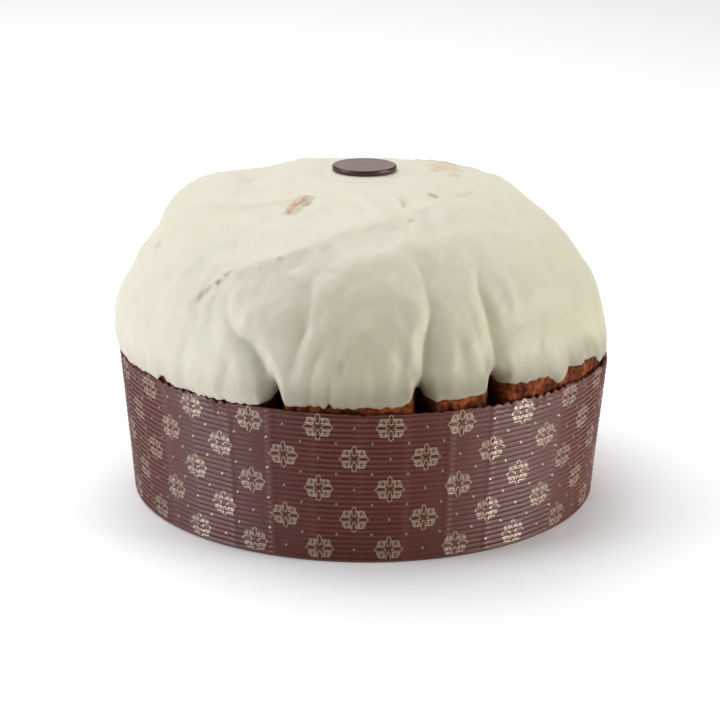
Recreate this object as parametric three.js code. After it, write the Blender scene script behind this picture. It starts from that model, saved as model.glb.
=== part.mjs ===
// A low panettone of about 1 kg, glazed with white chocolate, in the paper case it was baked in.
// Millimetres, +Z up. The origin is the middle of the case's underside, and -Y is the front.
// Four pieces: the fluted paper case, the bread that fills it and domes over its rim, the set
// white-chocolate icing on the dome, and a dark chocolate disc lying on the very top.
// A place on the dome is given by its azimuth, in degrees from the front towards +X, and by its
// climb, the millimetres walked up the dome's surface from just inside the case's rim.
import * as THREE from "three";

// Paper case: a fluted wall that flares from foot to rim, on a flat floor, with a pinked rim
const CASE_HEIGHT = 65.5;
const RIM_RADIUS = 107;
const FOOT_RADIUS = 100.5;
const CASE_WALL = 1.5;
const CASE_FLOOR = 1.5;
const FOOT_ROUND = 1.2;
const FLUTES = 28;
const FLUTE_PITCH = 2.246;
const FLUTE_DEPTH = 0.6;
const CASE_SIDES = 38;
const TEETH_PER_SIDE = 2;
const TOOTH_DEPTH = 1.3;

// Dome of the iced loaf: a superellipse of revolution, from its widest ring up to the crown
const DOME_START = 60;
const NECK_RADIUS = 106;
const WIDEST_Z = 70;
const WIDEST_RADIUS = 107.3;
const CROWN_Z = 139;
const RADIAL_POWER = 2.95;
const HEIGHT_POWER = 1.6;

// Icing, its lower edge as a climb, and the fit between pieces
const ICING = 2;
const ICING_EDGE = 8;
const LOWEST_EDGE = 7.2;
const BARE_STRIP = { at: 38, wide: 30, high: 6.3 };
const LONG_DRIP = { at: 48, wide: 3, low: 3.5 };
const GAP = 0.3;

// Bread inside the case
const BREAD_ROUND = 3;
const CLEFT_FOOT = 46;

// Chocolate disc
const DISC_RADIUS = 14.8;
const DISC_HEIGHT = 2.4;
const DISC_ROUND = 0.8;
const DISC_TILT = 1.6;
const DISC_AT = { x: 0.8, y: 3.5 };

const COLOURS = { paper: "#6e4135", bread: "#8a4a21", icing: "#e9e3c9", chocolate: "#3b1d18" };

const radians = THREE.MathUtils.degToRad;
const bell = (x) => Math.exp(-x * x);

// Rises smoothly from 0 at low to 1 at high
const rise = (x, low, high) => THREE.MathUtils.smoothstep(x, low, high);

// Signed degrees from b to a, the short way round
const turn = (a, b) => THREE.MathUtils.euclideanModulo(a - b + 180, 360) - 180;

// A repeatable draw between -1 and 1
let seed = 41;
function draw() {
  seed = (seed * 1664525 + 1013904223) % 4294967296;
  return (seed / 4294967296) * 2 - 1;
}

// Clefts: the dough splits into lobes as it swells over the rim. Each has a gash near the rim,
// where the crust shows, and a shallower crease that runs on up the icing and fades out at its
// reach. Going up, a cleft leans and sways by some degrees.
const clefts = [
  { at: -20.5, lean: -16, sway: 0, gash: 10, crease: 3.2, reach: 62 },
  { at: 12.5, lean: 1.5, sway: 3, gash: 11, crease: 4.5, reach: 88 },
  { at: 29.8, lean: 4.5, sway: -1, gash: 12, crease: 4, reach: 80 },
];
const BACK_CLEFTS = 7;
const BACK_FROM = 96;
const BACK_STEP = 28;
for (let i = 0; i < BACK_CLEFTS; i++) {
  clefts.push({
    at: BACK_FROM + i * BACK_STEP + 4 * draw(),
    lean: 6 * draw(),
    sway: 3 * draw(),
    gash: 8 + 3 * draw(),
    crease: 3.4 + draw(),
    reach: 74 + 12 * draw(),
  });
}
const fold = { at: -18, lean: 2, sway: 3.5, gash: 0, crease: 3, reach: 78 };
const creases = [...clefts, fold];
const CLEFT_START = 10;
const GASH = { width: 6, sharpness: 1.7, from: -14, full: 4, fading: 15, gone: 31 };
const CREASE = { width: 12, sharpness: 2.2, from: -6, full: 12, fadingShare: 0.45 };
const NOTCH = { perGash: 0.75, wide: 2.4 };

// Lobes: rounded swellings, and two dents, by middle, half sizes in degrees and millimetres, and
// height. The last three are the crag of crust left of the disc, its shadowed side and the slit
// at the left of the front.
const lobes = [
  { at: -24, climb: 52, wide: 11, tall: 24, high: 3.4 },
  { at: -34, climb: 18, wide: 15, tall: 16, high: 2 },
  { at: 0, climb: 45, wide: 15, tall: 50, high: 2.2 },
  { at: 22, climb: 40, wide: 9, tall: 38, high: 1.8 },
  { at: 48, climb: 44, wide: 17, tall: 42, high: 1.2 },
  { at: -80, climb: 38, wide: 40, tall: 28, high: 1.5 },
  { at: -102, climb: 78, wide: 36, tall: 20, high: 5.4 },
  { at: 84, climb: 46, wide: 28, tall: 28, high: 2.2 },
  { at: 120, climb: 84, wide: 40, tall: 26, high: 2.8 },
  { at: -39, climb: 102, wide: 8, tall: 11, high: 2.2 },
  { at: -31, climb: 103, wide: 7, tall: 11, high: -1.6 },
  { at: -42, climb: 52, wide: 6, tall: 11, high: -1.4 },
];
const LOBE = { roundness: 2.6, brow: 0.8, from: 2, full: 12 };

// Lip: the edge of the dough that peeled back from the cut in the top, climbing to its front
const LIP = { at: 8, climb: 96, drop: 36, bend: 1.7, high: 2.2, below: 9, above: 22 };
const LIP_SPAN = { degrees: 62, fading: 0.7, gone: 1.25 };

// The loaf rose more on its left side than on its right
const SIDE = { swell: 2.6, from: 2, full: 22, fading: 62, gone: 96 };

// The crown stays plain, so that the disc lies on it
const PLAIN_CROWN = { from: 40, to: 22 };

// The plain dome's profile in small steps, each with its climb
const PROFILE_STEPS = 600;
const profile = [{ r: NECK_RADIUS, z: DOME_START, climb: 0 }];
for (let i = 0; i <= PROFILE_STEPS; i++) {
  const swing = (Math.PI / 2) * (i / PROFILE_STEPS);
  const r = WIDEST_RADIUS * Math.max(Math.cos(swing), 0) ** (2 / RADIAL_POWER);
  const z = WIDEST_Z + (CROWN_Z - WIDEST_Z) * Math.sin(swing) ** (2 / HEIGHT_POWER);
  const last = profile[profile.length - 1];
  profile.push({ r, z, climb: last.climb + Math.hypot(r - last.r, z - last.z) });
}
const DOME_LENGTH = profile[profile.length - 1].climb;

// Radius, height and outward direction of the plain dome at a climb
function domeAt(climb) {
  const i = Math.max(1, profile.findIndex((p) => p.climb >= climb));
  const a = profile[i - 1];
  const b = profile[i];
  const t = (climb - a.climb) / (b.climb - a.climb);
  const steep = Math.atan2(b.z - a.z, a.r - b.r);
  return {
    r: THREE.MathUtils.lerp(a.r, b.r, t),
    z: THREE.MathUtils.lerp(a.z, b.z, t),
    outR: Math.sin(steep),
    outZ: Math.cos(steep),
  };
}

// How far the surface stands out because of a cleft or fold: never above 0
function cleftRelief(c, azimuth, climb, radius) {
  const along = THREE.MathUtils.clamp((climb - CLEFT_START) / (c.reach - CLEFT_START), 0, 1);
  const middle = c.at + c.lean * along + c.sway * Math.sin(Math.PI * along);
  const aside = Math.abs(radians(turn(azimuth, middle))) * radius;
  const gash = rise(climb, GASH.from, GASH.full) * (1 - rise(climb, GASH.fading, GASH.gone));
  const creaseEnd = 1 - rise(climb, CREASE.fadingShare * c.reach, c.reach);
  const crease = rise(climb, CREASE.from, CREASE.full) * creaseEnd;
  const inGash = Math.max(0, 1 - aside / GASH.width) ** GASH.sharpness;
  const inCrease = Math.max(0, 1 - aside / CREASE.width) ** CREASE.sharpness;
  return -c.gash * gash * inGash - c.crease * crease * inCrease;
}

function lobeRelief(l, azimuth, climb) {
  const far = Math.hypot(turn(azimuth, l.at) / l.wide, (climb - l.climb) / l.tall);
  const swelling = Math.max(0, 1 - far ** LOBE.roundness) ** LOBE.brow;
  return l.high * swelling * rise(climb, LOBE.from, LOBE.full);
}

function lipRelief(azimuth, climb) {
  const aside = Math.abs(turn(azimuth, LIP.at)) / LIP_SPAN.degrees;
  const past = climb - (LIP.climb - LIP.drop * Math.min(1, LIP.bend * aside * aside));
  const across = past < 0 ? bell(past / LIP.below) : bell(past / LIP.above);
  return LIP.high * across * (1 - rise(aside, LIP_SPAN.fading, LIP_SPAN.gone));
}

// Millimetres by which the surface stands out from the plain dome
function relief(azimuth, climb, radius) {
  const swell = rise(climb, SIDE.from, SIDE.full) * (1 - rise(climb, SIDE.fading, SIDE.gone));
  let out = lipRelief(azimuth, climb) - SIDE.swell * Math.sin(radians(azimuth)) * swell;
  for (const c of creases) {
    out += cleftRelief(c, azimuth, climb, radius);
  }
  for (const l of lobes) {
    out += lobeRelief(l, azimuth, climb);
  }
  return out * (1 - rise(climb, DOME_LENGTH - PLAIN_CROWN.from, DOME_LENGTH - PLAIN_CROWN.to));
}

const place = (azimuth, r, z) => [r * Math.sin(radians(azimuth)), -r * Math.cos(radians(azimuth)), z];

// A point on the dome, sunk by depth below the icing's outside
function onDome(azimuth, climb, depth) {
  const d = domeAt(climb);
  const out = relief(azimuth, climb, d.r) - depth;
  return place(azimuth, d.r + out * d.outR, d.z + out * d.outZ);
}

// The climb where the icing stops: higher over the strip of bare crust at the right of the front
// and in each cleft's notch, and lower at its one long drip
function icingEdge(azimuth) {
  const strip = BARE_STRIP.high * bell((turn(azimuth, BARE_STRIP.at) / BARE_STRIP.wide) ** 2);
  const drip = LONG_DRIP.low * bell(turn(azimuth, LONG_DRIP.at) / LONG_DRIP.wide);
  let climb = ICING_EDGE + strip - drip;
  for (const c of clefts) {
    climb += NOTCH.perGash * c.gash * bell(turn(azimuth, c.at) / NOTCH.wide);
  }
  return Math.max(climb, LOWEST_EDGE);
}

// The dome's columns: close together across each cleft and the drip, at most MOST_STEP elsewhere
const MOST_STEP = 6.4;
const ACROSS_CLEFT = [-4.2, -1.7, 0, 1.7, 4.2];
const ACROSS_FOLD = [-4, 0, 4];
const marks = [
  ...clefts.flatMap((c) => ACROSS_CLEFT.map((a) => c.at + a)),
  ...ACROSS_FOLD.map((a) => LONG_DRIP.at + a),
].map((azimuth) => THREE.MathUtils.euclideanModulo(azimuth, 360));
marks.sort((a, b) => a - b);
const columns = marks.flatMap((mark, i) => {
  const next = i + 1 < marks.length ? marks[i + 1] : marks[0] + 360;
  const parts = Math.ceil((next - mark) / MOST_STEP);
  return Array.from({ length: parts }, (_, k) => THREE.MathUtils.lerp(mark, next, k / parts));
});

// Triangles between two closed rings, which may differ in their number of points. A ring is its
// first index and its count, and the outside is on the right of the way from one to the next. The
// diagonals lean one way on a rising and on a falling chain, so that parallel skins never cross.
function bridge(faces, [a, countA], [b, countB], falling) {
  let i = 0;
  let j = 0;
  while (i < countA || j < countB) {
    const fromA = a + (i % countA);
    const fromB = b + (j % countB);
    const lag = (i + 1) * countB - (j + 1) * countA;
    if (lag < 0 || (lag === 0 && !falling)) {
      i++;
      faces.push(fromA, a + (i % countA), fromB);
    } else {
      j++;
      faces.push(fromA, b + (j % countB), fromB);
    }
  }
}

// A closed solid from a chain of rings, with a point at each end
function ringSolid(firstPole, rings, lastPole) {
  const points = [firstPole, ...rings.flat(), lastPole];
  const faces = [];
  let start = 1;
  const spans = rings.map((ring) => {
    const span = [start, ring.length];
    start += ring.length;
    return span;
  });
  const heightOf = (ring) => ring[0][2];
  spans.slice(1).forEach((span, i) => {
    bridge(faces, spans[i], span, heightOf(rings[i + 1]) < heightOf(rings[i]));
  });
  const [first, firstCount] = spans[0];
  for (let i = 0; i < firstCount; i++) faces.push(0, first + ((i + 1) % firstCount), first + i);
  const [last, lastCount] = spans[spans.length - 1];
  for (let i = 0; i < lastCount; i++) {
    faces.push(last + i, last + ((i + 1) % lastCount), points.length - 1);
  }
  const geometry = new THREE.BufferGeometry();
  geometry.setAttribute("position", new THREE.Float32BufferAttribute(points.flat(), 3));
  geometry.setIndex(faces);
  geometry.computeVertexNormals();
  return geometry;
}

// Rings over the dome from the icing's edge to near the crown, closer together at the bottom
const DOME_RINGS = 12;
const RING_CROWDING = 1.25;
const TOP_RING = DOME_LENGTH - 9;
function domeRings(depth) {
  return Array.from({ length: DOME_RINGS }, (_, k) =>
    columns.map((azimuth) => {
      const share = (k / (DOME_RINGS - 1)) ** RING_CROWDING;
      return onDome(azimuth, THREE.MathUtils.lerp(icingEdge(azimuth), TOP_RING, share), depth);
    }),
  );
}

// Icing: a shell of even thickness, down its inner skin and up its outer one
const icing = ringSolid(
  [0, 0, CROWN_Z - ICING],
  [...domeRings(ICING).reverse(), ...domeRings(0)],
  [0, 0, CROWN_Z],
);

// Case wall's radii at a height, to its flute crests outside and to its inner ply
const wallOutside = (z) => THREE.MathUtils.lerp(FOOT_RADIUS, RIM_RADIUS, z / CASE_HEIGHT);
const wallInside = (z) => wallOutside(z) - CASE_WALL;

// Bread: fills the many-sided case, then follows the icing's inside with a hair's gap
const BREAD_DEPTH = ICING + GAP;
const BREAD_BASE = CASE_FLOOR + GAP;
function breadRing(z, inset) {
  const r = wallInside(z) * Math.cos(Math.PI / CASE_SIDES) - GAP - inset;
  return columns.map((azimuth) => place(azimuth, r, z));
}
const bread = ringSolid(
  [0, 0, BREAD_BASE],
  [
    breadRing(BREAD_BASE, BREAD_ROUND),
    breadRing(BREAD_BASE + BREAD_ROUND, 0),
    breadRing(CLEFT_FOOT, 0),
    columns.map((azimuth) => onDome(azimuth, GAP, BREAD_DEPTH)),
    columns.map((azimuth) => onDome(azimuth, 0.5 * icingEdge(azimuth), BREAD_DEPTH)),
    ...domeRings(BREAD_DEPTH),
  ],
  [0, 0, CROWN_Z - BREAD_DEPTH],
);

// Paper case
const around = (count, pointAt) => Array.from({ length: count }, (_, i) => pointAt((360 * i) / count, i));
const caseRing = (r, z) => around(CASE_SIDES, (azimuth) => place(azimuth, r, z));
const rimRing = (r) =>
  around(CASE_SIDES * TEETH_PER_SIDE * 2, (azimuth, i) =>
    place(azimuth, r, CASE_HEIGHT + (i % 2 ? -0.5 : 0.5) * TOOTH_DEPTH),
  );
const FOOT_STEPS = 3;
const footRings = Array.from({ length: FOOT_STEPS }, (_, i) => {
  const swing = (Math.PI / 2) * (i / FOOT_STEPS);
  const z = FOOT_ROUND * (1 - Math.cos(swing));
  return caseRing(wallOutside(z) - FOOT_ROUND * (1 - Math.sin(swing)), z);
});
const fluteRings = Array.from({ length: 2 * FLUTES }, (_, i) => {
  const z = FOOT_ROUND + (i * FLUTE_PITCH) / 2;
  return caseRing(wallOutside(z) - (i % 2 ? 0 : FLUTE_DEPTH), z);
});
const paperCase = ringSolid(
  [0, 0, 0],
  [
    ...footRings,
    ...fluteRings,
    rimRing(RIM_RADIUS),
    rimRing(RIM_RADIUS - CASE_WALL),
    caseRing(wallInside(CASE_FLOOR), CASE_FLOOR),
  ],
  [0, 0, CASE_FLOOR],
);

// Chocolate disc: flat faces and softened edges
const DISC_SIDES = 36;
const CORNER_STEPS = 3;
function discCorner(y, fromDegrees) {
  return Array.from({ length: CORNER_STEPS + 1 }, (_, i) => {
    const swing = radians(fromDegrees + (90 * i) / CORNER_STEPS);
    const x = DISC_RADIUS - DISC_ROUND + DISC_ROUND * Math.cos(swing);
    return new THREE.Vector2(x, y + DISC_ROUND * Math.sin(swing));
  });
}
const discProfile = [
  new THREE.Vector2(0, 0),
  ...discCorner(DISC_ROUND, -90),
  ...discCorner(DISC_HEIGHT - DISC_ROUND, 0),
  new THREE.Vector2(0, DISC_HEIGHT),
];
const disc = new THREE.LatheGeometry(discProfile, DISC_SIDES).rotateX(Math.PI / 2);

function addPiece(group, name, geometry, color, roughness) {
  const piece = new THREE.Mesh(
    geometry,
    new THREE.MeshStandardMaterial({ color, roughness, metalness: 0 }),
  );
  piece.name = name;
  group.add(piece);
  return piece;
}

const panettone = new THREE.Group();
addPiece(panettone, "paper_case", paperCase, COLOURS.paper, 0.6);
addPiece(panettone, "bread", bread, COLOURS.bread, 0.85);
addPiece(panettone, "icing", icing, COLOURS.icing, 0.4);
const topping = addPiece(panettone, "chocolate_disc", disc, COLOURS.chocolate, 0.35);
const discLift = GAP + DISC_RADIUS * Math.sin(radians(DISC_TILT));
topping.position.set(DISC_AT.x, DISC_AT.y, CROWN_Z + discLift);
topping.rotation.x = radians(-DISC_TILT);

export default panettone;
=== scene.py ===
"""A low panettone iced with white chocolate, in the fluted paper case that it was baked in.

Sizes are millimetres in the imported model's frame: the origin is the middle of the case's
underside, +Z is up and -Y is the front. Each mesh is scaled to metres as it is made.
An azimuth is in degrees from the front towards +X, and a climb is the millimetres walked up
the dome's surface from just inside the case's rim.
"""

import math

import bpy
import numpy as np
from mathutils import Matrix, Vector


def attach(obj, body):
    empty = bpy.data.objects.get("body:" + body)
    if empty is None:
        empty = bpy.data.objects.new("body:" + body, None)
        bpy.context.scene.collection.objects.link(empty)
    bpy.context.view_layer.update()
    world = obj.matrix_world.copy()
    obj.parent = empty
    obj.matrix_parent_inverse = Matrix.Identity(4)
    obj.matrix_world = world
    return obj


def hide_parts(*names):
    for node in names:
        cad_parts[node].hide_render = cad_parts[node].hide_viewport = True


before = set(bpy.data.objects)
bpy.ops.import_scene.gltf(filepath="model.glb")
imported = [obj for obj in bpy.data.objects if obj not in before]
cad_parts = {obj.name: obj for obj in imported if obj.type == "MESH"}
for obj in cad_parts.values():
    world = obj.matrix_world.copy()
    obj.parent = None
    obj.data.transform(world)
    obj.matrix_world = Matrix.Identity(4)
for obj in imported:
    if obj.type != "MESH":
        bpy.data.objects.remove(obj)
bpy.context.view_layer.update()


# Paper case
# A strip of brown baking paper, pressed into horizontal flutes and lined with a flat ply, is
# bent into a ring that flares a little, lapped and glued at the back, and closed by a flat floor.
# Its rim is pinked by the cutter, and pale rosettes are printed on it before it is formed.
MM = 0.001
CASE_HEIGHT = 65.5
RIM_RADIUS = 107
FOOT_RADIUS = 101.1
CASE_WALL = 1.5
CASE_FLOOR = 1.5
FOOT_ROUND = 1.2
FLUTES = 28
FLUTE_PITCH = 2.246
FLUTE_DEPTH = 0.8
FLUTE_SHARPNESS = 1.6
ROWS_PER_FLUTE = 6
CASE_COLUMNS = 480
TEETH = 146
TOOTH_HEIGHT = 1.6
TOOTH_ROUNDNESS = 0.8
SMOOTH_FRONT = {"at": -3, "from": 14, "to": 34, "least": 0.35}
RIM_TOP = 0.65
RIM_UNEVEN = 0.35
RIM_WAVES = (9, 23)
CREASE_SPACING = 10.3
CREASE_FIRST = -1.0
CREASE_WIDTH = 0.5
CREASE_HEIGHT = 0.3
CREASE_FLATTENS = 0.35
OUT_OF_ROUND = 0.25
STIFF_FOOT = 12
RIM_ROUND = 0.35
RIM_DIPS = [(88, 22, 5.0), (-90, 22, 2.0)]
LAP = {"at": 180, "wide": 5.5, "high": 0.225, "edge": 0.5, "slack": 0.6}
FOLDED_UNDER = 11
FLOOR_RECESS = 0.3
FOOT_ANGLES = (0, 22, 45, 68)
RIM_ANGLES = (25, 50, 75, 105, 130, 155)
RIM_STEPS = 21
INSIDE_HEIGHTS = (62, 50, 30, 10, CASE_FLOOR + 1, CASE_FLOOR)
INNER_FLOOR_RADIUS = 60
LUMP_WAVES = 28


def smooth_rise(x, low, high):
    """Rises smoothly from 0 at low to 1 at high."""
    t = np.clip((x - low) / (high - low), 0, 1)
    return t * t * (3 - 2 * t)


def bell(x):
    """1 at 0, falling off smoothly to both sides."""
    return np.exp(-x * x)


def turn(a, b):
    """Signed degrees from b to a, the short way round."""
    return (a - b + 180) % 360 - 180


def around(azimuth, radius, height):
    """Points at those azimuths, radii and heights."""
    azimuth, radius, height = np.broadcast_arrays(azimuth, radius, height)
    swing = np.radians(azimuth)
    return np.stack([radius * np.sin(swing), -radius * np.cos(swing), height], axis=-1)


def lumps(points, size, seed):
    """Smooth random swellings and dips of about that size, mostly between -1 and 1."""
    chance = np.random.default_rng(seed)
    ways = chance.normal(size=(LUMP_WAVES, 3))
    ways *= (2 * math.pi / size) / np.linalg.norm(ways, axis=1, keepdims=True)
    ways *= chance.uniform(0.7, 1.3, size=(LUMP_WAVES, 1))
    phases = chance.uniform(0, 2 * math.pi, size=LUMP_WAVES)
    return np.sin(points @ ways.T + phases).sum(axis=-1) / math.sqrt(LUMP_WAVES)


def ring_mesh(name, rings, attributes=None):
    """A closed, smooth mesh from a chain of rings, each end closed to a point at its middle."""
    rings = np.asarray(rings, float)
    rows, columns, _ = rings.shape
    ends = [rings[0].mean(axis=0), rings[-1].mean(axis=0)]
    points = np.concatenate([rings.reshape(-1, 3), ends]) * MM
    index = np.arange(rows * columns).reshape(rows, columns)
    beside = np.roll(index, -1, axis=1)
    quads = np.stack([index[:-1], beside[:-1], beside[1:], index[1:]], axis=-1).reshape(-1, 4)
    first, last = rows * columns, rows * columns + 1
    faces = quads.tolist()
    faces += [(first, b, a) for a, b in zip(index[0], beside[0])]
    faces += [(last, a, b) for a, b in zip(index[-1], beside[-1])]
    mesh = bpy.data.meshes.new(name)
    mesh.from_pydata(points.tolist(), [], faces)
    for label, values in (attributes or {}).items():
        values = np.append(values.reshape(-1), [values[0].mean(), values[-1].mean()])
        mesh.attributes.new(label, "FLOAT", "POINT").data.foreach_set("value", values)
    mesh.shade_smooth()
    piece = bpy.data.objects.new(name, mesh)
    bpy.context.scene.collection.objects.link(piece)
    return piece


def stand_for(piece, cad_node, material):
    """The finished piece takes its CAD node's place."""
    piece.data.materials.append(material)
    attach(piece, "root")
    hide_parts(cad_node)


def outside_radius(z):
    return FOOT_RADIUS + (RIM_RADIUS - FOOT_RADIUS) * z / CASE_HEIGHT


def rim_height(azimuth):
    """The pinked rim: rounded teeth of uneven height, nearly smooth at the front."""
    along = azimuth / 360 * TEETH
    tooth = np.abs(np.sin(math.pi * along)) ** TOOTH_ROUNDNESS
    swing = np.radians(azimuth)
    few, many = RIM_WAVES
    uneven = 0.5 + 0.25 * np.sin(few * swing + 1) + 0.25 * np.sin(many * swing + 2)
    aside = np.abs(turn(azimuth, SMOOTH_FRONT["at"]))
    toothed = smooth_rise(aside, SMOOTH_FRONT["from"], SMOOTH_FRONT["to"])
    deep = TOOTH_HEIGHT * (SMOOTH_FRONT["least"] + (1 - SMOOTH_FRONT["least"]) * toothed)
    dip = sum(low * bell(turn(azimuth, at) / wide) for at, wide, low in RIM_DIPS)
    cut = deep * (1 - tooth) * (0.4 + 1.2 * uneven)
    return CASE_HEIGHT + RIM_TOP - dip - cut - RIM_UNEVEN * uneven


def wall_radius(azimuth, z):
    """The outside of the wall: flutes, upright creases, the lap, and a little out of round."""
    ripple = (0.5 + 0.5 * np.cos(2 * math.pi * (z - FOOT_ROUND) / FLUTE_PITCH)) ** FLUTE_SHARPNESS
    crease_at = (azimuth - CREASE_FIRST + CREASE_SPACING / 2) % CREASE_SPACING - CREASE_SPACING / 2
    crease = bell(crease_at / CREASE_WIDTH)
    swing = np.radians(azimuth)
    waves = 0.5 - 0.3 * np.sin(3 * swing + 0.6) - 0.2 * np.sin(7 * swing + z / 22)
    wobble = OUT_OF_ROUND * waves * smooth_rise(z, 0, STIFF_FOOT)
    lap = LAP["high"] * smooth_rise(turn(azimuth, LAP["at"] - LAP["wide"]), 0, LAP["edge"])
    from_lap = np.abs(turn(azimuth, LAP["at"] - LAP["wide"] / 2))
    lap = np.where(from_lap < LAP["wide"] / 2 + LAP["slack"], lap, 0)
    inward = FLUTE_DEPTH * (1 - ripple) * (1 - CREASE_FLATTENS * crease) + wobble
    return outside_radius(z) - np.maximum(inward - CREASE_HEIGHT * crease - lap, 0)


azimuths = np.arange(CASE_COLUMNS) * 360 / CASE_COLUMNS
rim = rim_height(azimuths)
foot = []
for swing in np.radians(FOOT_ANGLES):
    z = FOOT_ROUND * (1 - math.cos(swing))
    foot.append(around(azimuths, outside_radius(z) - FOOT_ROUND * (1 - math.sin(swing)), z))
# The wall's foot is folded under, and the floor sheet inside the fold lies a little higher
fold_edge = FOOT_RADIUS - FOLDED_UNDER
underside = [
    around(azimuths, fold_edge * 0.4, FLOOR_RECESS),
    around(azimuths, fold_edge * 0.8, FLOOR_RECESS),
    around(azimuths, fold_edge - 0.4, FLOOR_RECESS),
    around(azimuths, fold_edge, 0.05),
    around(azimuths, fold_edge + 0.4, 0),
    around(azimuths, FOOT_RADIUS - FOOT_ROUND - 3, 0),
]
# The wall's rows are level up to its last few flutes, and from there they follow the rim
wall = []
level_rows = FLUTES * ROWS_PER_FLUTE - RIM_STEPS + 1
for z in FOOT_ROUND + np.arange(level_rows) * FLUTE_PITCH / ROWS_PER_FLUTE:
    wall.append(around(azimuths, wall_radius(azimuths, z), z))
for share in np.linspace(0, 1, RIM_STEPS + 1)[1:]:
    height = z + (rim - RIM_ROUND - z) * share
    wall.append(around(azimuths, wall_radius(azimuths, height), height))
outer = wall_radius(azimuths, rim)
top = []
for swing in np.radians(RIM_ANGLES):
    middle = outer - CASE_WALL / 2
    reach = (CASE_WALL / 2) * math.cos(swing)
    top.append(around(azimuths, middle + reach, rim - RIM_ROUND * (1 - math.sin(swing))))
inside = [around(azimuths, outside_radius(z) - CASE_WALL, z) for z in INSIDE_HEIGHTS]
inner_floor = [around(azimuths, INNER_FLOOR_RADIUS, CASE_FLOOR)]
paper_case = ring_mesh("paper_case_look", underside + foot + wall + top + inside + inner_floor)


def linear(code):
    """The linear colour of an sRGB hex value."""
    channels = [int(code[i : i + 2], 16) / 255 for i in (1, 3, 5)]
    return (*[c / 12.92 if c <= 0.04045 else ((c + 0.055) / 1.055) ** 2.4 for c in channels], 1)


def add(tree, kind, inputs=None, **settings):
    """Adds a node. An input is a value, or a socket to link to."""
    made = tree.nodes.new(kind)
    for label, value in settings.items():
        setattr(made, label, value)
    for label, value in (inputs or {}).items():
        if isinstance(value, bpy.types.NodeSocket):
            tree.links.new(value, made.inputs[label])
        else:
            made.inputs[label].default_value = value
    return made.outputs[0]


def new_material(name):
    material = bpy.data.materials.new(name)
    material.use_nodes = True
    return material, material.node_tree, material.node_tree.nodes["Principled BSDF"]


# Baking paper, dark brown all through: matt, with a faint sheen from its grease-proofing, and
# a pale, half metallic ink on top that catches the light at the sides.
PAPER = "#632819"
PAPER_DARK = "#562214"
PAPER_INK = "#c0ae98"
ROSETTE_STEP = 8
ROSETTE_SHIFT = 2
ROW_STEP = 13.5
LOWEST_ROW = 6
LATTICE_WIDE = 14.5
ROSETTE_WIDER = 1.03
PETAL = {"middle": 3.55, "long": 2.3, "wide": 1.0}
LEAF = {"inner": (1.65, 1.6), "high": 3.9, "lean": 0.4, "reach": 5.4, "fill": 0.55}
VEIN = {"at": 2.45, "lean": 0.15, "top": 3.5, "wide": 0.28}
INK_LINE = 0.2
INK_SOFT = 0.1
INK_COVER = 0.92
INK_METALLIC = 0.62
INK_ROUGHNESS = 0.36
DOT = 0.42
PRINT_FROM = 1.5
PAPER_ROUGHNESS = 0.44
PAPER_IOR = 1.6
PAPER_CLOUD = 14
PAPER_FIBRE = 1.05
FIBRE_HEIGHT = 0.08

baking_paper, tree, shader = new_material("brown_baking_paper_gold_print")
place = add(tree, "ShaderNodeTexCoord").node.outputs["Object"]
parts = add(tree, "ShaderNodeSeparateXYZ", {0: place}).node
toward_front = add(tree, "ShaderNodeMath", {0: parts.outputs["Y"], 1: -1}, operation="MULTIPLY")
swing = add(tree, "ShaderNodeMath", {0: parts.outputs["X"], 1: toward_front}, operation="ARCTAN2")
half_step = math.degrees(1) / ROSETTE_STEP / 2
across = add(
    tree,
    "ShaderNodeMath",
    {0: swing, 1: half_step, 2: ROSETTE_SHIFT / ROSETTE_STEP / 2},
    operation="MULTIPLY_ADD",
)
upward = add(
    tree,
    "ShaderNodeMath",
    {0: parts.outputs["Z"], 1: 0.5 / (ROW_STEP * MM), 2: 0.5 - LOWEST_ROW / ROW_STEP / 2},
    operation="MULTIPLY_ADD",
)
# The lattice of rosettes is a chequerboard, so each place folds back onto one rosette's corner
cell = add(tree, "ShaderNodeCombineXYZ", {0: across, 1: upward})
cell = add(tree, "ShaderNodeVectorMath", {0: cell}, operation="FRACTION")
cell = add(
    tree,
    "ShaderNodeVectorMath",
    {0: cell, 1: (2, 2, 0), 2: (-1, -1, 0)},
    operation="MULTIPLY_ADD",
)
cell = add(tree, "ShaderNodeVectorMath", {0: cell}, operation="ABSOLUTE")
other = add(tree, "ShaderNodeVectorMath", {0: (1, 1, 0), 1: cell}, operation="SUBTRACT")
reach = add(tree, "ShaderNodeVectorMath", {0: cell, 1: (1, 1, 0)}, operation="DOT_PRODUCT")
reach = reach.node.outputs["Value"]
beyond = add(tree, "ShaderNodeMath", {0: reach, 1: 1}, operation="GREATER_THAN")
folded = add(
    tree,
    "ShaderNodeMix",
    {"Factor": beyond, 4: cell, 5: other},
    data_type="VECTOR",
).node.outputs[1]
motif = add(
    tree,
    "ShaderNodeVectorMath",
    {0: folded, 1: (LATTICE_WIDE / ROSETTE_WIDER, ROW_STEP, 0)},
    operation="MULTIPLY",
)
sides = add(tree, "ShaderNodeSeparateXYZ", {0: motif}).node
along = add(
    tree, "ShaderNodeMath", {0: sides.outputs["X"], 1: sides.outputs["Y"]}, operation="MAXIMUM"
)
aside = add(
    tree, "ShaderNodeMath", {0: sides.outputs["X"], 1: sides.outputs["Y"]}, operation="MINIMUM"
)
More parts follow.
